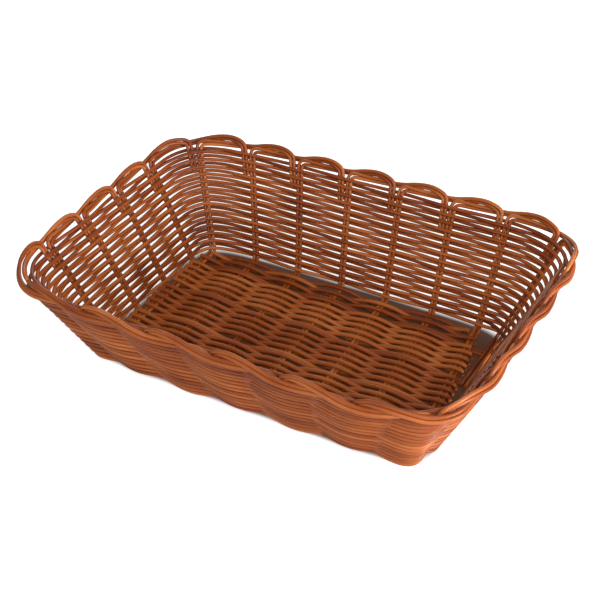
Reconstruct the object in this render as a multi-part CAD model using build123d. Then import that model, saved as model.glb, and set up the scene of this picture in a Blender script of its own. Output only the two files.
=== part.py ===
"""Rectangular bread basket woven from round plastic strand.

Frame: +Z up, +X towards the right end, +Y towards the far long wall.
The lowest crests of the base weave lie on z = 0.

Every strand is one closed solid: a circle swept along straight runs
joined by tangent arcs. Going clockwise seen from above there are 23
upright stakes, each a pair of strands. Seven pairs cross the base from
wall to wall, four run its length, and one more pair is pushed in at the
far right corner, which makes the number odd. A strand woven round an
odd number of stakes changes sides on each round.
"""
import math
import os
from dataclasses import dataclass, field
from typing import NamedTuple

from build123d import Compound, Edge, Face, Location, Plane, Vector, Wire
from build123d import export_step, sweep

os.makedirs("parts", exist_ok=True)

# ---------------------------------------------------------------- sizes, mm
STRAND = 2.5               # diameter of the stakes and the wall rows
MAT_STRAND = 2.9           # diameter of the strands woven across the base
PAIR_GAP = 0.1             # air between the two strands of a stake
CROSSING_GAP = 0.2         # air where a strand lies over a stake

RIM_HALF_LENGTH = 152.0    # stake line at the top row, out from the middle
RIM_HALF_WIDTH = 105.0
RIM_SQUARENESS = 7.0       # power of the squared-off oval: sides bow a little
BASE_HALF_LENGTH = 118.5   # stake line where the wall leaves the base
BASE_HALF_WIDTH = 71.0
BASE_SQUARENESS = 12.0     # the base is squarer than the rim
WALL_HEIGHT = 64.9         # stake line of the base up to the top row

ROWS = 28                  # weaver rows in the wall
ROW_PITCH = 2.6            # one row to the next, up the slope of the wall

FAR_INTERVALS = 7          # spaces between stakes along each wall
END_INTERVALS = 5
NEAR_INTERVALS = 6
FAN_GAP = 16.5             # last crossing stake to the far right corner
LENGTHWISE_PITCH = 33.5    # spacing of the four lengthwise stakes

FOOT_BEND = 6.0            # bend radius where a stake turns up the wall
MAT_FIELD_STRANDS = 9      # base weavers between two lengthwise stakes
MAT_EDGE = 65.4            # last base weaver, out from the middle
MAT_FULL_ROW = 60.0        # beyond this a base weaver stops before the corners
END_RUN = 1.3              # a cut end runs this far past its stake
ADDED_STAKE_END = 10.5     # inner end of the pair added at the corner

BORDER_LIFT = 0.3          # air between the top row and the folded stakes
BORDER_BEND = 4.8          # bend radius of a folded pair, on its middle line
BORDER_SPREAD = 0.75       # of half a pair, room for a tilted pair outside a stake
TUCK_DEPTH = 15.0          # how far a folded end runs down inside the weave
TUCK_TOP = 6.6             # its middle line, back from the stake at the rim
TUCK_FOOT = 5.3            # and at its lower end
SEAM_STAKE = 10            # where each round starts and stops
SEAM_RUN = 6.0             # a round's ends run this far past that stake

SMOOTH = 0.45              # share of a straight run that a soft arc may use
LOOP_ROUNDNESS = 0.98      # share of a loop's short run that its arcs use
PLATEAU_EASE = 2.6         # flat run past the outer strand of a bundle
CORNER_EASE = 0.8          # extra offset where a strand rounds a corner outside
CLOSE_STAKES = 24.0        # stakes nearer than this are crossed on a flat run
CORNER_SPAN = 0.3          # of an interval, the part of the border at a corner
NEARBY = 0.15              # of an interval, for lengths measured beside a stake
TINY_STEP = 0.02           # of an interval, for directions of the wall sheet
FREE_SHARE = 0.95          # share a soft arc may use of a run beside a fixed one
SETTLE_PASSES = 6          # rounds of pushing the crests out to their targets
STRAIGHT = math.radians(0.2)   # a smaller turn is left as a straight run
SHORTEST_RUN = 0.001       # a shorter straight run is left out

# ------------------------------------------------------------ worked out
HALF_PAIR = (STRAND + PAIR_GAP) / 2
OVER = STRAND + CROSSING_GAP
MAT_OVER = (STRAND + MAT_STRAND) / 2 + CROSSING_GAP
BASE_LEVEL = MAT_OVER + MAT_STRAND / 2
STAKES = FAR_INTERVALS + 2 * END_INTERVALS + NEAR_INTERVALS
SLOPE = math.hypot(WALL_HEIGHT, RIM_HALF_WIDTH - BASE_HALF_WIDTH)
LEAN = math.atan2(RIM_HALF_WIDTH - BASE_HALF_WIDTH, WALL_HEIGHT)
FOOT_REACH = FOOT_BEND * math.tan((math.pi / 2 - LEAN) / 2)
LOW_BAND = STRAND + BORDER_LIFT + HALF_PAIR
HIGH_BAND = LOW_BAND + 4 * HALF_PAIR
OUTSIDE = OVER + BORDER_SPREAD * HALF_PAIR
TUCK_BEND_HEIGHT = LOW_BAND + HALF_PAIR


def corner(half, squareness):
    """Half length or half width of a squared-off oval at its corners."""
    return half * 2 ** (-1 / squareness)


RIM_CORNER_X = corner(RIM_HALF_LENGTH, RIM_SQUARENESS)
RIM_CORNER_Y = corner(RIM_HALF_WIDTH, RIM_SQUARENESS)
BASE_CORNER_X = corner(BASE_HALF_LENGTH, BASE_SQUARENESS)
BASE_CORNER_Y = corner(BASE_HALF_WIDTH, BASE_SQUARENESS)


def evenly(start, stop, intervals):
    return [start + (stop - start) * i / intervals for i in range(intervals + 1)]


LENGTHWISE_Y = [LENGTHWISE_PITCH * (i - 1.5) for i in range(4)]
FAR_FEET = evenly(-BASE_CORNER_X, BASE_CORNER_X - FAN_GAP, FAR_INTERVALS - 1)
NEAR_FEET = evenly(BASE_CORNER_X, -BASE_CORNER_X, NEAR_INTERVALS)
END_FEET = [-BASE_CORNER_Y] + LENGTHWISE_Y + [BASE_CORNER_Y]

# Walls in clockwise order: far, right end, near, left end. Each has where
# its stakes stand, as a coordinate along the wall, at the base and the rim.
WALLS = [
    {
        "along": "x",
        "sign": 1,
        "feet": FAR_FEET + [BASE_CORNER_X],
        "tops": evenly(-RIM_CORNER_X, RIM_CORNER_X, FAR_INTERVALS),
    },
    {
        "along": "y",
        "sign": 1,
        "feet": END_FEET[::-1],
        "tops": evenly(RIM_CORNER_Y, -RIM_CORNER_Y, END_INTERVALS),
    },
    {
        "along": "x",
        "sign": -1,
        "feet": NEAR_FEET,
        "tops": evenly(RIM_CORNER_X, -RIM_CORNER_X, NEAR_INTERVALS),
    },
    {
        "along": "y",
        "sign": -1,
        "feet": END_FEET,
        "tops": evenly(-RIM_CORNER_Y, RIM_CORNER_Y, END_INTERVALS),
    },
]


# ------------------------------------------------------------ the wall sheet
def oval_point(wall, along, half_x, half_y, squareness, z):
    """Point of a squared-off oval, from its coordinate along one wall."""
    if wall["along"] == "x":
        share = abs(along / half_x) ** squareness
        across = wall["sign"] * half_y * (1 - share) ** (1 / squareness)
        return Vector(along, across, z)
    share = abs(along / half_y) ** squareness
    across = wall["sign"] * half_x * (1 - share) ** (1 / squareness)
    return Vector(across, along, z)


def between(values, place):
    """Value at a fractional place in a list."""
    i = min(int(place), len(values) - 2)
    return values[i] + (values[i + 1] - values[i]) * (place - i)


def foot_and_top(place):
    """Foot and top of the wall at a place counted in stakes, clockwise."""
    place = place % STAKES
    for wall in WALLS:
        intervals = len(wall["feet"]) - 1
        if place <= intervals:
            break
        place -= intervals
    foot = oval_point(
        wall,
        between(wall["feet"], place),
        BASE_HALF_LENGTH,
        BASE_HALF_WIDTH,
        BASE_SQUARENESS,
        BASE_LEVEL,
    )
    top = oval_point(
        wall,
        between(wall["tops"], place),
        RIM_HALF_LENGTH,
        RIM_HALF_WIDTH,
        RIM_SQUARENESS,
        BASE_LEVEL + WALL_HEIGHT,
    )
    return foot, top


def on_wall(place, share):
    """Point of the wall sheet; share 0 is the base, 1 the top row."""
    foot, top = foot_and_top(place)
    return foot + (top - foot) * share


def per_stake(place, share, step):
    """Length of sheet per stake interval, measured from a place to place + step."""
    return (on_wall(place + step, share) - on_wall(place, share)).length / abs(step)


class Directions(NamedTuple):
    """Unit vectors at a place on the wall sheet."""

    rise: Vector     # up the stake
    out: Vector      # outwards, square to the sheet
    aside: Vector    # clockwise in the sheet, square to the stake
    slope: Vector    # up the sheet, square to the row


def directions(place, share=1.0):
    """Directions of the wall sheet at a place and height."""
    ahead = on_wall(place + TINY_STEP, share)
    behind = on_wall(place - TINY_STEP, share)
    around = (ahead - behind).normalized()
    foot, top = foot_and_top(place)
    rise = (top - foot).normalized()
    out = rise.cross(around).normalized()
    aside = out.cross(rise).normalized()
    slope = around.cross(out).normalized()
    return Directions(rise, out, aside, slope)


CORNER_STAKES = [0]
for wall in WALLS[:-1]:
    CORNER_STAKES.append(CORNER_STAKES[-1] + len(wall["feet"]) - 1)


# ------------------------------------------------------------ strands
@dataclass
class Route:
    """Corner points of a strand, and how its corners are rounded."""

    points: list
    radii: dict = field(default_factory=dict)    # corners with a fixed radius
    limits: dict = field(default_factory=dict)   # longest reach of a soft corner
    diameter: float = STRAND

    def add(self, other):
        """Append another route."""
        shift = len(self.points)
        self.points = self.points + other.points
        self.radii.update({shift + i: r for i, r in other.radii.items()})
        self.limits.update({shift + i: r for i, r in other.limits.items()})
        return shift

    def reversed(self):
        """The same route from its other end."""
        last = len(self.points) - 1
        radii = {last - i: r for i, r in self.radii.items()}
        limits = {last - i: r for i, r in self.limits.items()}
        return Route(self.points[::-1], radii, limits, self.diameter)


def turn(before, here, after):
    """Angle by which a path turns at a point, in radians."""
    first = (here - before).normalized()
    second = (after - here).normalized()
    return math.acos(max(-1.0, min(1.0, first.dot(second))))


def reaches(route):
    """Length each arc takes from the straight runs on both sides of it."""
    points = route.points
    last = len(points) - 1
    taken = [0.0] * (last + 1)
    for i, radius in route.radii.items():
        taken[i] = radius * math.tan(turn(*points[i - 1:i + 2]) / 2)
    for i in range(1, last):
        if i in route.radii:
            continue
        room = [route.limits.get(i, math.inf)]
        for j in (i - 1, i + 1):
            run = (points[j] - points[i]).length
            spare = run - taken[j] if j in route.radii else run
            room.append(min(SMOOTH * run, FREE_SHARE * spare))
        taken[i] = min(room)
    return taken


def path_edges(route):
    """Straight runs and tangent arcs along a route."""
    points = route.points
    taken = reaches(route)
    edges = []
    here = points[0]
    for i in range(1, len(points) - 1):
        angle = turn(*points[i - 1:i + 2])
        if angle < STRAIGHT:
            continue
        first = (points[i] - points[i - 1]).normalized()
        second = (points[i + 1] - points[i]).normalized()
        start = points[i] - first * taken[i]
        stop = points[i] + second * taken[i]
        radius = taken[i] / math.tan(angle / 2)
        inward = (second - first).normalized()
        middle = points[i] + inward * (radius / math.cos(angle / 2) - radius)
        if (start - here).length > SHORTEST_RUN:
            edges.append(Edge.make_line(here, start))
        edges.append(Edge.make_three_point_arc(start, middle, stop))
        here = stop
    edges.append(Edge.make_line(here, points[-1]))
    return edges


def settle(route, crests):
    """Push crest corners outwards so that the rounded path meets its targets."""
    for _ in range(SETTLE_PASSES):
        points = route.points
        taken = reaches(route)
        moved = list(points)
        for i, target in crests.items():
            angle = turn(*points[i - 1:i + 2])
            if angle < STRAIGHT:
                moved[i] = target
                continue
            first = (points[i] - points[i - 1]).normalized()
            second = (points[i + 1] - points[i]).normalized()
            radius = taken[i] / math.tan(angle / 2)
            sag = radius / math.cos(angle / 2) - radius
            moved[i] = target - (second - first).normalized() * sag
        route.points = moved
    return route


def strand(route):
    """One strand as a closed solid."""
    wire = Wire(path_edges(route))
    across = Plane(origin=wire @ 0, z_dir=wire % 0)
    section = Face(Wire([Edge.make_circle(route.diameter / 2, plane=across)]))
    return sweep(section, path=wire).solid()


# ------------------------------------------------------------ wall rows
def row_share(row):
    return 1 - ROW_PITCH * (ROWS - 1 - row) / SLOPE


def tuck_offset(height):
    """Middle line of a tucked end, back from its stake, at a height up the slope."""
    share = (height + TUCK_DEPTH) / (TUCK_BEND_HEIGHT + TUCK_DEPTH)
    return TUCK_FOOT + (TUCK_TOP - TUCK_FOOT) * share


def pair_across(stake):
    """Level direction in which the two strands of a stake lie apart at its foot."""
    wall_ends = CORNER_STAKES[1] < stake % STAKES < CORNER_STAKES[2]
    wall_ends = wall_ends or stake % STAKES > CORNER_STAKES[3]
    across = Vector(0, 1, 0) if wall_ends else Vector(1, 0, 0)
    return across if across.dot(directions(stake).aside) > 0 else across * -1


def foot_half(stake):
    """Half the spacing of a pair at its foot, level, so it is never under width."""
    return HALF_PAIR / pair_across(stake).dot(directions(stake).aside)


def row_crossing(row, stake):
    """Side of a row at a stake, and how far out of the sheet it has to run."""
    share = row_share(row)
    side = 1 if (row + stake) % 2 == 0 else -1
    out = directions(stake, share).out
    skew = abs(pair_across(stake).dot(out)) * foot_half(stake) * (1 - share)
    ease = CORNER_EASE if side > 0 and stake % STAKES in CORNER_STAKES else 0.0
    return side, OVER + skew + ease


def row_at(row, place, offset):
    """Point of a row at a place round the wall, offset outwards from the sheet."""
    share = row_share(row)
    return on_wall(place, share) + directions(place, share).out * offset


def row_route(row):
    """Route of one round of weaver."""
    share = row_share(row)
    height = (share - 1) * SLOPE
    bundled = height > -TUCK_DEPTH - STRAND
    ahead = HALF_PAIR + PLATEAU_EASE
    back = tuck_offset(height) + ahead if bundled else ahead
    points = []
    crests = {}
    limits = {}
    for stake in range(SEAM_STAKE, SEAM_STAKE + STAKES + 1):
        side, over = row_crossing(row, stake)
        offset = side * over
        before = per_stake(stake, share, -NEARBY)
        after = per_stake(stake, share, NEARBY)
        span = per_stake(stake, share, 1.0)
        first = stake == SEAM_STAKE
        last = stake == SEAM_STAKE + STAKES
        close = min(span, per_stake(stake, share, -1.0)) < CLOSE_STAKES
        flat = bundled or first or last or close or stake % STAKES in CORNER_STAKES
        if first:
            points.append(row_at(row, stake - (back + SEAM_RUN) / before, offset))
        if flat:
            limits[len(points)] = PLATEAU_EASE
            points.append(row_at(row, stake - back / before, offset))
            limits[len(points)] = PLATEAU_EASE
            points.append(row_at(row, stake + ahead / after, offset))
        else:
            crests[len(points)] = row_at(row, stake, offset)
            points.append(crests[len(points)])
        if last:
            points.append(row_at(row, stake + (ahead + SEAM_RUN) / after, offset))
            break
        middle = 0.5 + (ahead - back) / (2 * span)
        points.append(row_at(row, stake + middle, 0.0))
    return settle(Route(points, {}, limits), crests)


# ------------------------------------------------------------ stakes
# Rise and outward position of a folded pair, and its tilt in degrees towards
# lying flat, by stakes passed since its own.
FOLD = [
    (0.25, 0.0, 0.14, 20),
    (0.5, 0.02, 0.67, 40),
    (0.75, 0.06, 1.0, 48),
    (1.0, 0.2, 1.0, 48),
    (1.25, 0.74, 0.5, 48),
    (1.5, 0.98, 0.0, 40),
    (1.68, 0.79, -0.15, 22),
]


def fold_line(stake):
    """Middle line of a pair from its bend at the rim to its tucked end."""
    start = directions(stake)
    points = [on_wall(stake, 1.0) + start.rise * LOW_BAND]
    outward = [start.out]
    for passed, lift, outside, tilt in FOLD:
        place = stake + passed
        here = directions(place)
        to_corner = min(abs(place % STAKES - c) for c in CORNER_STAKES + [STAKES])
        offset = OUTSIDE * outside
        if to_corner < CORNER_SPAN and outside == 1.0:
            offset += CORNER_EASE
        height = LOW_BAND + (HIGH_BAND - LOW_BAND) * lift
        points.append(on_wall(place, 1.0) + here.slope * height + here.out * offset)
        lean = math.radians(tilt)
        outward.append(here.out * math.cos(lean) + here.slope * math.sin(lean))
    target = stake + 2
    for back, height in ((TUCK_TOP, TUCK_BEND_HEIGHT), (TUCK_FOOT, -TUCK_DEPTH)):
        share = 1 + height / SLOPE
        place = target - back / per_stake(target, share, -NEARBY)
        points.append(on_wall(place, share))
        outward.append(directions(place).out)
    return points, outward


def upright(stake, side, level):
    """One strand of a stake from its foot to its tucked end.

    side is -1 for the strand that lies back (anticlockwise) and 1 for the
    other; level is its height at the foot, from the stake level of the base.
    """
    rise = directions(stake).rise
    foot = on_wall(stake, 0.0) + rise * (level / rise.Z)
    foot = foot + pair_across(stake) * (side * foot_half(stake))
    middle, outward = fold_line(stake)
    before = middle[0] - rise
    whole = [before] + middle
    points = [foot]
    radii = {0: FOOT_BEND, 1: BORDER_BEND - side * HALF_PAIR}
    for i in range(1, len(whole)):
        normal = outward[i - 1]
        arriving = (whole[i] - whole[i - 1]).normalized().cross(normal).normalized()
        if i < len(whole) - 1:
            leaving = (whole[i + 1] - whole[i]).normalized().cross(normal).normalized()
        else:
            leaving = arriving
        mitre = (arriving + leaving) * (1 / (1 + arriving.dot(leaving)))
        points.append(whole[i] - mitre * (side * HALF_PAIR))
    radii[len(points) - 2] = BORDER_BEND - side * HALF_PAIR
    return Route(points, radii)


def crossing_x(number, y):
    """Where a crossing stake lies in the base at a given y."""
    far = on_wall(number, 0.0)
    near = on_wall(FAR_INTERVALS + END_INTERVALS + NEAR_INTERVALS - number, 0.0)
    return near.X + (far.X - near.X) * (y - near.Y) / (far.Y - near.Y)


CROSSING_STAKES = FAR_INTERVALS
LAST_CROSSING = CROSSING_STAKES - 1
NEAR_LEFT_CORNER = FAR_INTERVALS + END_INTERVALS + NEAR_INTERVALS


def crossing_stake(number):
    """Both strands of a stake that crosses the base from near to far."""
    near = NEAR_LEFT_CORNER - number
    routes = []
    for side in (-1, 1):
        route = upright(near, -side, 0.0).reversed()
        route.add(upright(number, side, 0.0))
        routes.append(route)
    return routes


def lengthwise_stake(number):
    """Both strands of a stake that runs from the left end to the right."""
    left = NEAR_LEFT_CORNER + 1 + number
    right = FAR_INTERVALS + END_INTERVALS - 1 - number
    routes = []
    for side in (-1, 1):
        route = upright(left, -side, -OVER).reversed()
        stop = upright(right, side, -OVER)
        shift = route.add(mat_waves(stop.points[0].Y, -1, OVER))
        route.add(stop)
        crests = mat_crests(stop.points[0].Y, -1, OVER)
        routes.append(settle(route, {shift + i: c for i, c in crests.items()}))
    return routes


def added_stake():
    """The pair pushed in at the far right corner."""
    routes = []
    for side in (-1, 1):
        stop = upright(FAR_INTERVALS, side, 0.0)
        foot = stop.points[0]
        route = Route([Vector(foot.X, ADDED_STAKE_END, foot.Z)])
        route.add(stop)
        routes.append(route)
    return routes


# ------------------------------------------------------------ base mat
def mat_target(number, y, sign, over):
    """Crest of a lengthwise strand over or under one crossing stake."""
    side = sign if number % 2 == 0 else -sign
    return Vector(crossing_x(number, y), y, BASE_LEVEL + side * over)


WIDEST_HALF = foot_half(0)
LOOP_REACH = WIDEST_HALF + MAT_OVER + CROSSING_GAP
CUT_REACH = WIDEST_HALF + END_RUN


def mat_crests(y, sign, over):
    """Crests of a lengthwise strand over the inner crossing stakes."""
    return {k: mat_target(k, y, sign, over) for k in range(1, LAST_CROSSING)}


def mat_waves(y, sign, over):
    """Lengthwise strand in the mat; sign is its side at the even stakes."""
    level = BASE_LEVEL + sign * over
    flat = WIDEST_HALF + PLATEAU_EASE
    points = [Vector(crossing_x(0, y) + flat, y, level)]
    points += mat_crests(y, sign, over).values()
    points.append(Vector(crossing_x(LAST_CROSSING, y) - flat, y, level))
    return Route(points, {}, {0: PLATEAU_EASE, LAST_CROSSING: PLATEAU_EASE})


def mat_row(y, sign, left_reach, right_reach):
    """A base weaver from end to end, and its crests."""
    level = BASE_LEVEL + sign * MAT_OVER
    left = Vector(crossing_x(0, y) - left_reach, y, level)
    right = Vector(crossing_x(LAST_CROSSING, y) + right_reach, y, level)
    route = Route([left], diameter=MAT_STRAND)
    shift = route.add(mat_waves(y, sign, MAT_OVER))
    route.points.append(right)
    crests = {shift + i: c for i, c in mat_crests(y, sign, MAT_OVER).items()}
    return settle(route, crests)


def mat_field(first_y, last_y):
    """One weaver going back and forth between two lengthwise stakes."""
    count = MAT_FIELD_STRANDS
    route = Route([], diameter=MAT_STRAND)
    loops = []
    for i in range(count):
        y = first_y + (last_y - first_y) * (i + 1) / (count + 1)
        sign = 1 if i % 2 == 0 else -1
        left_reach = CUT_REACH if i == 0 else LOOP_REACH
        right_reach = CUT_REACH if i == count - 1 else LOOP_REACH
        row = mat_row(y, sign, left_reach, right_reach)
        if i % 2 == 1:
            row = row.reversed()
        shift = route.add(row)
        if i > 0:
            loops += [shift - 1, shift]
    for i in loops:
        run = min((route.points[i + s] - route.points[i]).length for s in (-1, 1))
        angle = turn(*route.points[i - 1:i + 2])
        route.radii[i] = LOOP_ROUNDNESS * run / 2 / math.tan(angle / 2)
    return route


def mat_edge_strands():
    """Single base weavers outside the first and last lengthwise stakes."""
    routes = []
    pitch = (LENGTHWISE_PITCH - 2 * HALF_PAIR) / (MAT_FIELD_STRANDS + 1)
    for start, sense in ((LENGTHWISE_Y[0], -1), (LENGTHWISE_Y[-1], 1)):
        first = abs(start) + HALF_PAIR
        count = round((MAT_EDGE - first) / pitch)
        for i in range(count):
            y = sense * (first + (MAT_EDGE - first) * (i + 1) / count)
            sign = 1 if i % 2 == 0 else -1
            if abs(y) < MAT_FULL_ROW:
                routes.append(mat_row(y, sign, CUT_REACH, CUT_REACH))
            else:
                short = mat_waves(y, sign, MAT_OVER)
                short.diameter = MAT_STRAND
                routes.append(settle(short, mat_crests(y, sign, MAT_OVER)))
    return routes


# ------------------------------------------------------------ all the strands
def all_routes():
    """The strands of every node."""
    nodes = {}
    for row in range(ROWS):
        nodes[f"weaver_row_{row + 1:02d}"] = [row_route(row)]
    for number in range(CROSSING_STAKES):
        nodes[f"crossing_stake_{number + 1}"] = crossing_stake(number)
    for number in range(len(LENGTHWISE_Y)):
        nodes[f"lengthwise_stake_{number + 1}"] = lengthwise_stake(number)
    nodes["added_corner_stake"] = added_stake()
    for i, name in enumerate(("front", "middle", "back")):
        first = LENGTHWISE_Y[i] + HALF_PAIR
        last = LENGTHWISE_Y[i + 1] - HALF_PAIR
        nodes[f"base_weaver_{name}"] = [mat_field(first, last)]
    for i, route in enumerate(mat_edge_strands()):
        nodes[f"base_edge_strand_{i + 1}"] = [route]
    return nodes


solids = {}
for node, routes in all_routes().items():
    solids[node] = [strand(route) for route in routes]

boxes = [s.bounding_box() for group in solids.values() for s in group]
low = Vector(*(min(getattr(b.min, axis) for b in boxes) for axis in "XYZ"))
high = Vector(*(max(getattr(b.max, axis) for b in boxes) for axis in "XYZ"))
middle = (low + high) * 0.5
centring = Location((-middle.X, -middle.Y, -low.Z))
for node, group in solids.items():
    moved = [s.moved(centring) for s in group]
    shape = moved[0] if len(moved) == 1 else Compound(children=moved)
    export_step(shape, f"parts/{node}.step")
print("nodes", len(solids), "solids", len(boxes), "size", high - low)
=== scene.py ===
# %% [markdown]
# # A woven bread basket
#
# This file is a lesson: it dresses the solid model of a rectangular bread
# basket in Blender. The basket is nothing but round plastic strand, about
# as thick as a thin straw, woven by hand. Every visible part of it is one
# of these strands, so the lesson is about making long bent tubes well.

# %% Load the solid model
import math

import bpy
from mathutils import Matrix, Vector, noise


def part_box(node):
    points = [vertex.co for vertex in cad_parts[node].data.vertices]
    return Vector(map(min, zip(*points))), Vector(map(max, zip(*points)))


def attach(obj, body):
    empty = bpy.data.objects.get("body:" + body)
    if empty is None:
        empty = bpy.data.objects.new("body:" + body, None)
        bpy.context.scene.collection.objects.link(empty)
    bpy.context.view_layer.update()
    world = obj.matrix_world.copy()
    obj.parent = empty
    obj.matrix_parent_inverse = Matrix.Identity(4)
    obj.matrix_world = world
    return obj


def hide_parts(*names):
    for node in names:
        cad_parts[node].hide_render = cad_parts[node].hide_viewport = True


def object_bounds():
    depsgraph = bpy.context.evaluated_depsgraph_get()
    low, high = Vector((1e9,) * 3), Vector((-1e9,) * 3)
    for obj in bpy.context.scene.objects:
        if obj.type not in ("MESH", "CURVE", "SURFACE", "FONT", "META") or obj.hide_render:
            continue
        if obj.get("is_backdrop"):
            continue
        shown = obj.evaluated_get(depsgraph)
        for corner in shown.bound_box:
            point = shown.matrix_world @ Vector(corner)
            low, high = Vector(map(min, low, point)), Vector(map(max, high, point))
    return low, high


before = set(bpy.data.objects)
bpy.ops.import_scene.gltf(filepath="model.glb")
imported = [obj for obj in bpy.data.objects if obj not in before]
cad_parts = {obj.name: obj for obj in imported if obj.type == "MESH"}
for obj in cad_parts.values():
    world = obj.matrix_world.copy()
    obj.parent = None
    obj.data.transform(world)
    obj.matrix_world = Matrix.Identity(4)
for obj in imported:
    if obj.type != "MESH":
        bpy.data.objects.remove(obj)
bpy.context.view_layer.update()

# %% [markdown]
# ## Sizes
#
# The solid model is the frame that everything must fit, so the main sizes
# below are measured from the boxes of its nodes; the strand's thickness and
# the air gaps are given. Lengths are kept in millimetres while the strands
# are laid out, because they are easy to picture, and are turned to metres
# when a curve is made.

# %% Measure the solid model
MM = 0.001


def box(node):
    """Lowest and highest corner of a node, in millimetres."""
    low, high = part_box(node)
    return low / MM, high / MM


def middle_height(node):
    low, high = box(node)
    return (low.z + high.z) / 2


ROWS = len([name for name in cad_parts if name.startswith("weaver_row_")])
ROW_LEVEL = [middle_height(f"weaver_row_{row + 1:02d}") for row in range(ROWS)]
low, high = box("base_edge_strand_1")
MAT_STRAND = high.y - low.y              # strands woven across the base
STRAND = 2.5                             # stakes and wall rows
CROSSING_GAP = 0.2                       # air where strands cross
PAIR_GAP = 0.1                           # air between the strands of a pair
HALF_PAIR = (STRAND + PAIR_GAP) / 2      # a pair's middle line to its strand's
OVER = STRAND + CROSSING_GAP             # a strand lying over another
MAT_OVER = (STRAND + MAT_STRAND) / 2 + CROSSING_GAP
BASE_LEVEL = middle_height("base_weaver_middle")
WALL_HEIGHT = ROW_LEVEL[-1] - BASE_LEVEL
first_row = box("weaver_row_01")[1]
top_row = box(f"weaver_row_{ROWS}")[1]
rise = ROW_LEVEL[-1] - ROW_LEVEL[0]
END_LEAN = math.atan2(top_row.x - first_row.x, rise)
SIDE_LEAN = math.atan2(top_row.y - first_row.y, rise)
RIM_X = top_row.x - OVER * math.cos(END_LEAN) - STRAND / 2
RIM_Y = top_row.y - OVER * math.cos(SIDE_LEAN) - STRAND / 2
BASE_X = RIM_X - WALL_HEIGHT * math.tan(END_LEAN)
BASE_Y = RIM_Y - WALL_HEIGHT * math.tan(SIDE_LEAN)
SLOPE = math.hypot(WALL_HEIGHT, RIM_Y - BASE_Y)
print("base strand", round(MAT_STRAND, 2), "rim", round(RIM_X, 1), round(RIM_Y, 1))
print("base", round(BASE_X, 1), round(BASE_Y, 1), "wall", round(WALL_HEIGHT, 1))

# %% [markdown]
# ## The wall as a sheet
#
# A basket wall is easiest to think of as a smooth sheet with the stakes
# lying in it and the weavers swinging from one side of it to the other.
# Seen from above, the foot and the rim are both squared-off ovals. A place
# on the sheet is a count of stakes going clockwise, with a fraction between
# them, and a share of the height. Everything that follows uses it.

# %% The squared-off ovals and the stakes along them
RIM_SQUARENESS = 7.0
BASE_SQUARENESS = 12.0
FAN_GAP = 16.5                           # last crossing stake to the corner
LENGTHWISE_PITCH = 33.5
LENGTHWISE_Y = [LENGTHWISE_PITCH * (i - 1.5) for i in range(4)]


def evenly(start, stop, intervals):
    return [start + (stop - start) * i / intervals for i in range(intervals + 1)]


rim_x, rim_y = (half * 2 ** (-1 / RIM_SQUARENESS) for half in (RIM_X, RIM_Y))
base_x, base_y = (half * 2 ** (-1 / BASE_SQUARENESS) for half in (BASE_X, BASE_Y))
end_feet = [-base_y] + LENGTHWISE_Y + [base_y]
far_feet = evenly(-base_x, base_x - FAN_GAP, 6) + [base_x]
# Each wall: its direction, its side, and its stakes at the foot and the rim.
WALLS = [
    ("x", 1, far_feet, evenly(-rim_x, rim_x, 7)),
    ("y", 1, end_feet[::-1], evenly(rim_y, -rim_y, 5)),
    ("x", -1, evenly(base_x, -base_x, 6), evenly(rim_x, -rim_x, 6)),
    ("y", -1, end_feet, evenly(-rim_y, rim_y, 5)),
]
CORNERS = [0, 7, 12, 18]
STAKES = 23
CROSSING_STAKES = 7


def oval_point(direction, side, along, half_x, half_y, squareness, level):
    """Point of an oval, from its coordinate along one wall."""
    half, other = (half_x, half_y) if direction == "x" else (half_y, half_x)
    share = abs(along / half) ** squareness
    across = side * other * (1 - share) ** (1 / squareness)
    pair = (along, across) if direction == "x" else (across, along)
    return Vector((*pair, level))


def foot_and_top(place):
    """Foot and top of the wall at a place counted in stakes."""
    place %= STAKES
    for direction, side, feet, tops in WALLS:
        if place <= len(feet) - 1:
            break
        place -= len(feet) - 1
    i = min(int(place), len(feet) - 2)
    foot = feet[i] + (feet[i + 1] - feet[i]) * (place - i)
    top = tops[i] + (tops[i + 1] - tops[i]) * (place - i)
    return (
        oval_point(direction, side, foot, BASE_X, BASE_Y, BASE_SQUARENESS, BASE_LEVEL),
        oval_point(
            direction, side, top, RIM_X, RIM_Y, RIM_SQUARENESS, BASE_LEVEL + WALL_HEIGHT
        ),
    )


def on_wall(place, share):
    """Point of the sheet; share 0 is the base and 1 the top row."""
    foot, top = foot_and_top(place)
    return foot.lerp(top, share)


def directions(place, share=1.0):
    """Up the stake, outwards, square to the stake, and up the slope."""
    around = on_wall(place + 0.02, share) - on_wall(place - 0.02, share)
    around.normalize()
    foot, top = foot_and_top(place)
    rise = (top - foot).normalized()
    out = rise.cross(around).normalized()
    return rise, out, out.cross(rise).normalized(), around.cross(out).normalized()


def per_stake(place, share, step):
    """Length of sheet for one stake space, measured beside a place."""
    return (on_wall(place + step, share) - on_wall(place, share)).length / abs(step)


print("stakes", STAKES, "corner of the rim", on_wall(0, 1.0))

# %% [markdown]
# ## From corner points to a smooth strand
#
# A strand could be modelled as a mesh tube extruded step by step, but a
# curve with a round bevel is the natural tool: it stays the same thickness
# all along, and only its control points have to be placed. A NURBS curve of
# order 3 is used. It touches the middle of each leg between two control
# points and never swings wide, like a springy strand held at a few places.
# A tight bend gets one more control point on each side of it, so that the
# legs stay straight up to the bend. At the end the curve becomes a mesh,
# and its caps are merged to the tube.

# %% Helpers for control points
def raise_crests(points, targets):
    """Move chosen control points so that the curve itself meets its targets."""
    for _ in range(8):
        for i, target in targets.items():
            points[i] = (target * 8 - points[i - 1] - points[i + 1]) / 6
    return points


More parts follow.
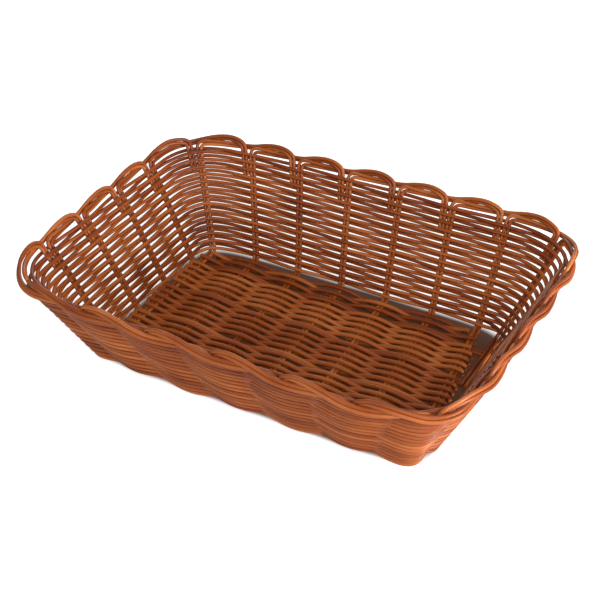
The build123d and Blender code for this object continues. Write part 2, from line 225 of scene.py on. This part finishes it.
def hold_bends(points, radii):
    """Add control points beside the bends that have a radius of their own."""
    held = []
    for i, point in enumerate(points):
        if i not in radii:
            held.append(point)
            continue
        before = points[i - 1] - point
        after = points[i + 1] - point
        angle = math.pi - before.angle(after)
        reach = 2 * radii[i] * math.tan(angle / 2)
        if reach < 0.75 * before.length:
            held.append(point + before.normalized() * reach)
        held.append(point)
        if reach < 0.75 * after.length:
            held.append(point + after.normalized() * reach)
    return held


print("a crest target of 1 needs a control point at", raise_crests(
    [Vector((0, 0, 0))] * 3, {1: Vector((0, 0, 1))})[1].z)

# %% [markdown]
# Nothing that is woven by hand is quite regular. Moving each control point
# by smooth noise gives the sheet a slow sway that neighbours share, so
# that strands don't run into each other, and a little play of their own.
# Blender seeds this noise from the clock, so it gets a fixed seed first;
# otherwise the basket would come out a little different each time.

# %% Sway of a hand-woven wall
SWAY = 0.75                              # most shared by neighbours
SWAY_REACH = 55.0                        # distance over which it changes
PLAY = 0.22                              # most that is a strand's own
PLAY_REACH = 26.0
STRAND_STEP = 7.3                        # gives each strand its own noise
STEADY_HEIGHT = 30.0                     # below it, less sway up and down
noise.seed_set(4)


def sway(point, strand_number):
    """The point as a weaver's hand would leave it."""
    shared = noise.noise_vector(point / SWAY_REACH)
    own_place = point / PLAY_REACH + Vector((0, 0, STRAND_STEP * strand_number))
    own = noise.noise_vector(own_place)
    shared.z *= min(1.0, point.z / STEADY_HEIGHT)
    own.z *= min(1.0, point.z / STEADY_HEIGHT)
    return point + shared * SWAY + own * PLAY


print("sway at the rim", sway(on_wall(3, 1.0), 1) - on_wall(3, 1.0))

# %% Lay strands as curves and make them one mesh
RING = 3                                 # bevel resolution, a ring of ten points
CURVE_STEPS = 5                          # rings between two control points
MERGE = 1e-6                             # metres
SHARP = math.radians(50)                 # keeps the edge of a cut end
strand_count = 0
pieces = {}


def scattered(number):
    """A number from 0 to 1 that looks random but is the same each time."""
    return (math.sin(number * 12.9898) * 43758.5453) % 1.0


def lay_strands(node, routes, diameter=STRAND):
    """Make one mesh of round strands that stands for one node."""
    global strand_count
    bpy.ops.object.select_all(action="DESELECT")
    parts = []
    for points in routes:
        strand_count += 1
        bpy.ops.curve.primitive_nurbs_path_add()
        path = bpy.context.object
        spline = path.data.splines[0]
        spline.points.add(len(points) - len(spline.points))
        for control, point in zip(spline.points, points):
            control.co = (*(sway(point, strand_count) * MM), 1.0)
        spline.order_u = 3
        spline.use_endpoint_u = True
        path.data.resolution_u = CURVE_STEPS
        spline.resolution_u = CURVE_STEPS
        path.data.bevel_depth = diameter / 2 * MM
        path.data.bevel_resolution = RING
        path.data.use_fill_caps = True
        length = sum((b - a).length for a, b in zip(points, points[1:]))
        bpy.ops.object.convert(target="MESH")
        tube = bpy.context.object
        bpy.ops.object.mode_set(mode="EDIT")
        bpy.ops.mesh.select_all(action="SELECT")
        bpy.ops.mesh.remove_doubles(threshold=MERGE)
        bpy.ops.mesh.normals_make_consistent(inside=False)
        bpy.ops.object.mode_set(mode="OBJECT")
        bpy.ops.object.shade_smooth_by_angle(angle=SHARP)
        along = length / (math.pi * diameter)
        for corner in tube.data.uv_layers[0].data:
            corner.uv.x *= along
        tone = tube.data.attributes.new("strand_tone", "FLOAT", "POINT")
        tone.data.foreach_set("value", [scattered(strand_count)] * len(tube.data.vertices))
        parts.append(tube)
    for part in parts:
        part.select_set(True)
    bpy.context.view_layer.objects.active = parts[0]
    if len(parts) > 1:
        bpy.ops.object.join()
    piece = bpy.context.object
    piece.name = f"woven_{node}"
    piece.data.name = piece.name
    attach(piece, "root")
    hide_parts(node)
    pieces[node] = piece


print("helper ready: strands become pieces named woven_ and the node's name")

# %% [markdown]
# ## The wall rows
#
# Each row is one round of weaver. It passes each stake on the side where
# the row below it doesn't, and swings through the sheet halfway between
# stakes. At the corners and near the rim, where folded ends lie beside the
# stakes, it runs straight past the whole bundle, so it gets two control
# points there. Its ends overlap beside one stake of the right end wall.

# %% Lay the wall rows
SEAM_STAKE = 10                          # where the rows start and stop
SEAM_LAP = 6                             # how far an end runs on past the stake
BORDER_LIFT = 0.3                        # air between the top row and the border
LOW_BAND = STRAND + BORDER_LIFT + HALF_PAIR
HIGH_BAND = LOW_BAND + 4 * HALF_PAIR     # middle of a pair on top of an arc
TUCK_DEPTH = 15.0                        # tucked end, below the top row
TUCK_TOP = 6.6                           # tucked end beside its stake, at the top
TUCK_FOOT = 5.3                          # and at its foot
TUCK_BEND_HEIGHT = LOW_BAND + HALF_PAIR
CORNER_EASE = 0.8                        # extra offset outside a corner
EASE = 2.6                               # a weaver's straight run beyond a pair
CLOSE_STAKES = 24                        # under it, a weaver runs straight past
BESIDE = 0.15                            # spaces from a stake, to measure there


def row_point(share, place, offset):
    return on_wall(place, share) + directions(place, share)[1] * offset


def row_points(row):
    """Control points of one round of weaver."""
    share = (ROW_LEVEL[row] - BASE_LEVEL) / WALL_HEIGHT
    height = (share - 1) * SLOPE
    bundled = height > -TUCK_DEPTH - STRAND
    ahead = HALF_PAIR + EASE
    back = ahead
    if bundled:
        deep = (height + TUCK_DEPTH) / (TUCK_BEND_HEIGHT + TUCK_DEPTH)
        back = TUCK_FOOT + (TUCK_TOP - TUCK_FOOT) * deep + ahead
    points, crests = [], {}
    for stake in range(SEAM_STAKE, SEAM_STAKE + STAKES + 1):
        corner = stake % STAKES in CORNERS
        side = 1 if (row + stake) % 2 == 0 else -1
        offset = side * (OVER + (CORNER_EASE if corner and side > 0 else 0.0))
        before = per_stake(stake, share, -BESIDE)
        after = per_stake(stake, share, BESIDE)
        span = per_stake(stake, share, 1.0)
        end = stake in (SEAM_STAKE, SEAM_STAKE + STAKES)
        close = min(span, per_stake(stake, share, -1.0)) < CLOSE_STAKES
        if stake == SEAM_STAKE:
            points.append(row_point(share, stake - (back + SEAM_LAP) / before, offset))
        if bundled or end or close or corner:
            points.append(row_point(share, stake - back / before, offset))
            points.append(row_point(share, stake + ahead / after, offset))
        else:
            crests[len(points)] = row_point(share, stake, offset)
            points.append(crests[len(points)])
        if stake == SEAM_STAKE + STAKES:
            points.append(row_point(share, stake + (ahead + SEAM_LAP) / after, offset))
            break
        middle = 0.5 + (ahead - back) / (2 * span)
        points.append(row_point(share, stake + middle, 0.0))
    return raise_crests(points, crests)


for row in range(ROWS):
    lay_strands(f"weaver_row_{row + 1:02d}", [row_points(row)])
print("rows", ROWS, "faces in the top one", len(pieces[f"weaver_row_{ROWS}"].data.polygons))

# %% [markdown]
# ## The stakes and the border
#
# A stake is a pair of strands side by side. It runs up the wall, and above
# the top row each pair is folded down clockwise: it runs low to the next
# stake, passes outside it, climbs over the next pair in a wide arc and comes
# slanting down to be tucked inside the weave beside the stake after that.
# The line is given as heights, outward shares and a tilt in degrees by the
# number of stakes passed. Each strand of the pair keeps half a pair's width
# to its side of the line, and on top of the arc the tilt lets the pair lie
# over like a laid rope.

# %% The folded border
BORDER_BEND = 4.8                        # radius of a pair's middle line
BORDER_SPREAD = 0.75                     # half pairs that the border stands out
OUTSIDE = OVER + BORDER_SPREAD * HALF_PAIR
ROUND_CORNER = 0.3                       # stake spaces to each side of a corner
# Stakes passed, share of the lift, share of OUTSIDE and tilt.
FOLD = [
    (0.25, 0.0, 0.14, 20),
    (0.5, 0.02, 0.67, 40),
    (0.75, 0.06, 1.0, 48),
    (1.0, 0.2, 1.0, 48),
    (1.25, 0.74, 0.5, 48),
    (1.5, 0.98, 0.0, 40),
    (1.68, 0.79, -0.15, 22),
]


def fold_line(stake):
    """Middle line of a pair from its bend at the rim to its tucked end."""
    rise, out, aside, slope = directions(stake)
    points = [on_wall(stake, 1.0) + rise * LOW_BAND]
    outward = [out]
    for passed, lift, outside, tilt in FOLD:
        place = stake + passed
        rise, out, aside, slope = directions(place)
        height = LOW_BAND + (HIGH_BAND - LOW_BAND) * lift
        offset = OUTSIDE * outside
        to_corner = min(abs(place % STAKES - corner) for corner in CORNERS + [STAKES])
        if to_corner < ROUND_CORNER and outside == 1.0:
            offset += CORNER_EASE
        points.append(on_wall(place, 1.0) + slope * height + out * offset)
        lean = math.radians(tilt)
        outward.append(out * math.cos(lean) + slope * math.sin(lean))
    for back, height in ((TUCK_TOP, TUCK_BEND_HEIGHT), (TUCK_FOOT, -TUCK_DEPTH)):
        share = 1 + height / SLOPE
        place = stake + 2 - back / per_stake(stake + 2, share, -BESIDE)
        points.append(on_wall(place, share))
        outward.append(directions(place)[1])
    return points, outward


def pair_across(stake):
    """Level direction in which the two strands of a stake lie apart."""
    at_end = CORNERS[1] < stake % STAKES < CORNERS[2] or stake % STAKES > CORNERS[3]
    across = Vector((0, 1, 0)) if at_end else Vector((1, 0, 0))
    return across if across.dot(directions(stake)[2]) > 0 else -across


def upright(stake, side, level):
    """Control points of one strand of a stake from its foot to its tucked end."""
    rise, out, aside, slope = directions(stake)
    across = pair_across(stake)
    foot = on_wall(stake, 0.0) + rise * (level / rise.z)
    foot = foot + across * (side * HALF_PAIR / across.dot(aside))
    middle, outward = fold_line(stake)
    whole = [middle[0] - rise] + middle
    points = [foot]
    for i in range(1, len(whole)):
        normal = outward[i - 1]
        arriving = (whole[i] - whole[i - 1]).normalized().cross(normal).normalized()
        leaving = arriving
        if i < len(whole) - 1:
            leaving = (whole[i + 1] - whole[i]).normalized().cross(normal).normalized()
        mitre = (arriving + leaving) / (1 + arriving.dot(leaving))
        points.append(whole[i] - mitre * (side * HALF_PAIR))
    bend = BORDER_BEND - side * HALF_PAIR
    return points, {1: bend, len(points) - 2: bend}


print("points of one folded strand", len(upright(2, 1, 0.0)[0]))

# %% [markdown]
# Seven of the pairs cross the base from wall to wall, four run its length
# and pass under and over the others, and one pair is pushed in at the far
# right corner. Each crossing or lengthwise strand is therefore the fold at
# one end, a straight run or waves in the base, and the fold at the other.

# %% Lay the stakes
FOOT_BEND = 6.0                          # radius where a stake leaves the base
ADDED_INNER_END = 10.5                   # inner end of the added pair, in y


def crossing_x(number, y):
    """Where a crossing stake lies in the base at a given y."""
    far, near = on_wall(number, 0.0), on_wall(CORNERS[3] - number, 0.0)
    return near.x + (far.x - near.x) * (y - near.y) / (far.y - near.y)


def mat_waves(y, sign, over):
    """Lengthwise control points over and under the crossing stakes."""
    flat = HALF_PAIR * 1.02 + EASE
    points = [Vector((crossing_x(0, y) + flat, y, BASE_LEVEL + sign * over))]
    for number in range(1, 6):
        side = sign if number % 2 == 0 else -sign
        points.append(Vector((crossing_x(number, y), y, BASE_LEVEL + side * over)))
    points.append(Vector((crossing_x(6, y) - flat, y, BASE_LEVEL + sign * over)))
    return points


def raise_waves(points, start):
    """Meet the crests of five waves that begin at one control point."""
    return raise_crests(points, {start + i: points[start + i].copy() for i in range(1, 6)})


def both_ends(first, last, between=()):
    """Join two uprights and what lies between into one strand's points."""
    points, radii = first
    back = points[::-1]
    joined = {len(points) - 1 - i: r for i, r in radii.items()}
    joined[len(back) - 1] = FOOT_BEND
    start = len(back)
    back += list(between)
    joined[len(back)] = FOOT_BEND
    joined.update({len(back) + i: r for i, r in last[1].items()})
    back += last[0]
    if between:
        raise_waves(back, start)
    return hold_bends(back, joined)


for number in range(CROSSING_STAKES):
    near = CORNERS[3] - number
    lay_strands(f"crossing_stake_{number + 1}", [
        both_ends(upright(near, -side, 0.0), upright(number, side, 0.0))
        for side in (-1, 1)
    ])
for number in range(len(LENGTHWISE_Y)):
    routes = []
    for side in (-1, 1):
        left = upright(CORNERS[3] + 1 + number, -side, -OVER)
        right = upright(CORNERS[2] - 1 - number, side, -OVER)
        waves = mat_waves(right[0][0].y, -1, OVER)
        routes.append(both_ends(left, right, waves))
    lay_strands(f"lengthwise_stake_{number + 1}", routes)
routes = []
for side in (-1, 1):
    points, radii = upright(CORNERS[1], side, 0.0)
    inner = Vector((points[0].x, ADDED_INNER_END, points[0].z))
    held = {i + 1: r for i, r in radii.items()}
    routes.append(hold_bends([inner] + points, {1: FOOT_BEND, **held}))
lay_strands("added_corner_stake", routes)
print("stake pairs", CROSSING_STAKES + len(LENGTHWISE_Y) + 1)

# %% [markdown]
# ## The base mat
#
# Between the lengthwise pairs one weaver goes back and forth, turning in a
# tight loop round the first and last crossing stakes. Outside the last
# pairs a few single strands fill the mat up to the walls.

# %% Lay the base mat
FIELD = 9                                # passes between two lengthwise pairs
EDGE = 65.4                              # last single strand, from the middle
EDGE_STRANDS = 4                         # single strands at each long edge
FULL_ROW = 60.0                          # past it, a strand ends on the last stakes
LOOP_REACH = HALF_PAIR + MAT_OVER + CROSSING_GAP
CUT_REACH = HALF_PAIR + 1.3              # a cut end shows past the last stakes
LOOP_BEND = 0.49                         # in passes, just under a half circle


def mat_row(y, sign, left_reach, right_reach):
    level = BASE_LEVEL + sign * MAT_OVER
    left = Vector((crossing_x(0, y) - left_reach, y, level))
    right = Vector((crossing_x(6, y) + right_reach, y, level))
    return raise_waves([left] + mat_waves(y, sign, MAT_OVER) + [right], 1)


for name, first, last in zip(("front", "middle", "back"), LENGTHWISE_Y, LENGTHWISE_Y[1:]):
    points, bends = [], {}
    pitch = (last - first - 2 * HALF_PAIR) / (FIELD + 1)
    for i in range(FIELD):
        reach = [CUT_REACH if i == 0 else LOOP_REACH, CUT_REACH if i == FIELD - 1 else LOOP_REACH]
        row = mat_row(first + HALF_PAIR + pitch * (i + 1), 1 if i % 2 == 0 else -1, *reach)
        if i % 2:
            row.reverse()
        if i:
            bends.update({len(points) - 1: LOOP_BEND * pitch, len(points): LOOP_BEND * pitch})
        points += row
    lay_strands(f"base_weaver_{name}", [hold_bends(points, bends)], MAT_STRAND)

edge_number = 0
for start, sense in ((LENGTHWISE_Y[0], -1), (LENGTHWISE_Y[-1], 1)):
    first = abs(start) + HALF_PAIR
    for i in range(EDGE_STRANDS):
        edge_number += 1
        y = sense * (first + (EDGE - first) * (i + 1) / EDGE_STRANDS)
        sign = 1 if i % 2 == 0 else -1
        if abs(y) < FULL_ROW:
            points = mat_row(y, sign, CUT_REACH, CUT_REACH)
        else:
            points = raise_waves(mat_waves(y, sign, MAT_OVER), 0)
        lay_strands(f"base_edge_strand_{edge_number}", [points], MAT_STRAND)
print("strands laid", strand_count, "pieces", len(pieces))

# %% [markdown]
# ## The finish of the strand
#
# The strand is extruded plastic, reddish brown right through, with a satin
# skin. Drawing it through the die leaves fine lines along it, and it isn't
# dyed evenly: one strand is redder, the next more orange, and the tone
# drifts along its length. Shader maths reads best as sums, so a small class
# turns Python's operators into Math nodes.

# %% A small helper for shader nodes
class Socket:
    """One output of a node; adding or multiplying it adds a Math node."""

    def __init__(self, maker, output):
        self.maker, self.output = maker, output

    def _math(self, operation, first, second):
        return self.maker.node("ShaderNodeMath", {"operation": operation}, {0: first, 1: second})

    def __add__(self, other):
        return self._math("ADD", self, other)

    __radd__ = __add__

    def __sub__(self, other):
        return self._math("SUBTRACT", self, other)

    def __rsub__(self, other):
        return self._math("SUBTRACT", other, self)

    def __mul__(self, other):
        return self._math("MULTIPLY", self, other)

    __rmul__ = __mul__


class Finish:
    """A material under construction."""

    def __init__(self, name):
        self.material = bpy.data.materials.new(name)
        self.material.use_nodes = True
        self.tree = self.material.node_tree
        self.shader = self.tree.nodes["Principled BSDF"]

    def node(self, kind, settings=None, inputs=None, output=0):
        """Add a node, set it up, link its inputs and return one output."""
        made = self.tree.nodes.new(kind)
        for key, value in (settings or {}).items():
            if key == "stops":
                ramp = made.color_ramp
                while len(ramp.elements) < len(value):
                    ramp.elements.new(0.5)
                for element, (position, colour) in zip(ramp.elements, value):
                    element.position, element.color = position, colour
            else:
                setattr(made, key, value)
        for key, value in (inputs or {}).items():
            if isinstance(value, Socket):
                self.tree.links.new(value.output, made.inputs[key])
            else:
                made.inputs[key].default_value = value
        return Socket(self, made.outputs[output])

    def feed(self, name, value):
        if isinstance(value, Socket):
            self.tree.links.new(value.output, self.shader.inputs[name])
        else:
            self.shader.inputs[name].default_value = value


print("helper ready")

# %% The strand's finish
def linear(red, green, blue):
    """Colour as Blender wants it, from the usual 0 to 255 values."""
    return (*(((v / 255 + 0.055) / 1.055) ** 2.4 for v in (red, green, blue)), 1.0)


strand_finish = Finish("brown_plastic_strand")
make = strand_finish.node
place = make("ShaderNodeTexCoord", {}, {}, "Object")
unrolled = make("ShaderNodeUVMap", {"uv_map": "UVMap"}, {}, "UV")
tone = make("ShaderNodeAttribute", {"attribute_name": "strand_tone"}, {}, "Fac")
patches = make("ShaderNodeTexNoise", {}, {"Vector": place, "Scale": 38.0, "Detail": 3.0})
stretched = make("ShaderNodeMapping", {}, {"Vector": unrolled, "Scale": (0.05, 6.0, 1.0)})
lines = make("ShaderNodeTexNoise", {}, {"Vector": stretched, "Scale": 2.2, "Detail": 4.0})
grain = make("ShaderNodeTexNoise", {}, {"Vector": place, "Scale": 1400.0, "Detail": 2.0})
mixture = tone * 0.34 + patches * 0.5 + lines * 0.3 - 0.08
colour = make("ShaderNodeValToRGB", {"stops": [
    (0.2, linear(108, 41, 9)),
    (0.42, linear(141, 66, 21)),
    (0.6, linear(165, 86, 33)),
    (0.85, linear(194, 116, 62)),
]}, {"Fac": mixture})
strand_finish.feed("Base Color", colour)
strand_finish.feed("Roughness", 0.30 + lines * 0.16 + grain * 0.12)
relief = lines * 0.6 + grain * 0.4
strand_finish.feed("Normal", make(
    "ShaderNodeBump", {}, {"Strength": 0.35, "Distance": 0.00012, "Height": relief}, "Normal"))
strand_finish.feed("Specular IOR Level", 0.33)
for piece in pieces.values():
    piece.data.materials.clear()
    piece.data.materials.append(strand_finish.material)
print("nodes in the finish", len(strand_finish.tree.nodes))

# %% [markdown]
# ## Floor, light and camera
#
# The basket stands on a plain white floor in soft light. The floor curves
# nowhere and simply runs past the view. To a camera ray it glows a little,
# so that it reads as white, while the basket's shadow on it stays. Right
# under the mat hardly any light gets in between the strands and the floor,
# so shade is painted there: the floor is dark brown, and it has only a faint
# brown glow, which is painted bounce light from the strands. This painted
# shade lies in a squared-off patch that fades out at the foot of the walls.

# %% Floor
PAPER = (0.86, 0.86, 0.86, 1)
PAPER_GLOW = (0.6, 0.6, 0.6, 1)
# Painted shade: the floor under the mat is dark brown, where hardly any light gets in.
PAINTED_SHADE_UNDER_MAT = (0.05, 0.022, 0.012, 1)
# Painted bounce light: a faint brown glow under the mat, as if from the strands.
PAINTED_BOUNCE_UNDER_MAT = (0.03, 0.008, 0.002, 1)
NO_GLOW = (0, 0, 0, 1)
# Middle of the painted shade patch, set a little off the basket's middle.
PAINTED_SHADE_X, PAINTED_SHADE_Y = -3.0, 5.0             # middle of the dark patch
bpy.ops.object.select_all(action="DESELECT")
bpy.ops.mesh.primitive_plane_add(size=12.0, location=(0, 0, 0))
floor = bpy.context.object
floor.name = "floor"
paper = Finish("white_floor_with_painted_shade")
paper.feed("Roughness", 0.9)
spot = paper.node("ShaderNodeTexCoord", {}, {}, "Object")
spread = paper.node("ShaderNodeMapping", {}, {
    "Vector": spot,
    "Location": (-PAINTED_SHADE_X / BASE_X, -PAINTED_SHADE_Y / BASE_Y, 0.0),
    "Scale": (1000 / BASE_X, 1000 / BASE_Y, 0.0),
})
square = paper.node("ShaderNodeVectorMath", {"operation": "MULTIPLY"}, {0: spread, 1: spread}, 0)
fourth = paper.node("ShaderNodeVectorMath", {"operation": "MULTIPLY"}, {0: square, 1: square}, 0)
away = paper.node("ShaderNodeVectorMath", {"operation": "LENGTH"}, {0: fourth}, "Value")
# Mask of the painted shade: 0 under the mat, fading to 1 at the foot of the walls.
outside_painted_shade = paper.node("ShaderNodeMapRange", {"interpolation_type": "SMOOTHSTEP"}, {
    "Value": away, "From Min": 1.0, "From Max": 1.35})
seen = paper.node("ShaderNodeLightPath", {}, {}, "Is Camera Ray")
# Camera glow: white on the open floor, and painted brown bounce light under the mat.
glow_with_painted_bounce = paper.node("ShaderNodeMix", {"data_type": "RGBA"}, {
    "Factor": outside_painted_shade, "A": PAINTED_BOUNCE_UNDER_MAT, "B": PAPER_GLOW}, "Result")
paper.feed("Base Color", paper.node("ShaderNodeMix", {"data_type": "RGBA"}, {
    "Factor": outside_painted_shade, "A": PAINTED_SHADE_UNDER_MAT, "B": PAPER}, "Result"))
paper.feed("Emission Color", paper.node("ShaderNodeMix", {"data_type": "RGBA"}, {
    "Factor": seen, "A": NO_GLOW, "B": glow_with_painted_bounce}, "Result"))
paper.feed("Emission Strength", 1.0)
floor.data.materials.append(paper.material)
floor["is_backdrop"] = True
print("floor ready")

# %% Light
world = bpy.data.worlds.new("soft_room")
bpy.context.scene.world = world
world.use_nodes = True
world.node_tree.nodes["Background"].inputs["Color"].default_value = (1, 1, 1, 1)
world.node_tree.nodes["Background"].inputs["Strength"].default_value = 0.3


def soft_box(name, place, size, watts):
    """A square lamp at a place, turned to face the middle of the basket."""
    bpy.ops.object.light_add(type="AREA", location=place)
    lamp = bpy.context.object
    lamp.name = name
    lamp.data.shape = "SQUARE"
    lamp.data.size = size
    lamp.data.energy = watts
    aim_line = Vector((0, 0, 0.03)) - Vector(place)
    lamp.rotation_euler = aim_line.to_track_quat("-Z", "Y").to_euler()


soft_box("lamp_right", (0.75, -0.95, 1.05), 0.45, 14.5)
soft_box("lamp_front", (-0.5, -1.5, 0.42), 0.8, 3.5)
soft_box("lamp_low", (1.5, -0.1, 0.17), 0.3, 28.0)
soft_box("lamp_back", (-0.7, 1.2, 0.8), 0.8, 8.0)

# %% Camera
AIM = Vector((0.0, 0.0, 0.036))
DISTANCE = 0.8654
AZIMUTH, ELEVATION, ROLL = (math.radians(a) for a in (31.5, 35.87, -2.26))
back = Vector((
    math.sin(AZIMUTH) * math.cos(ELEVATION),
    -math.cos(AZIMUTH) * math.cos(ELEVATION),
    math.sin(ELEVATION),
))
right = (-back).cross(Vector((0, 0, 1))).normalized()
up = right.cross(-back)
turned_right = right * math.cos(ROLL) + up * math.sin(ROLL)
turned_up = up * math.cos(ROLL) - right * math.sin(ROLL)
bpy.ops.object.camera_add()
camera = bpy.context.object
camera.name = "camera"
camera.matrix_world = Matrix((
    (turned_right.x, turned_up.x, back.x, AIM.x + back.x * DISTANCE),
    (turned_right.y, turned_up.y, back.y, AIM.y + back.y * DISTANCE),
    (turned_right.z, turned_up.z, back.z, AIM.z + back.z * DISTANCE),
    (0, 0, 0, 1),
))
camera.data.lens = 80.7
camera.data.sensor_width = 36.0
camera.data.shift_x = 0.002
camera.data.shift_y = 0.0095
bpy.context.scene.camera = camera
bpy.context.scene.view_settings.view_transform = "Standard"
print("camera at", camera.matrix_world.translation)

# %% Size of the dressed basket
low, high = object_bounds()
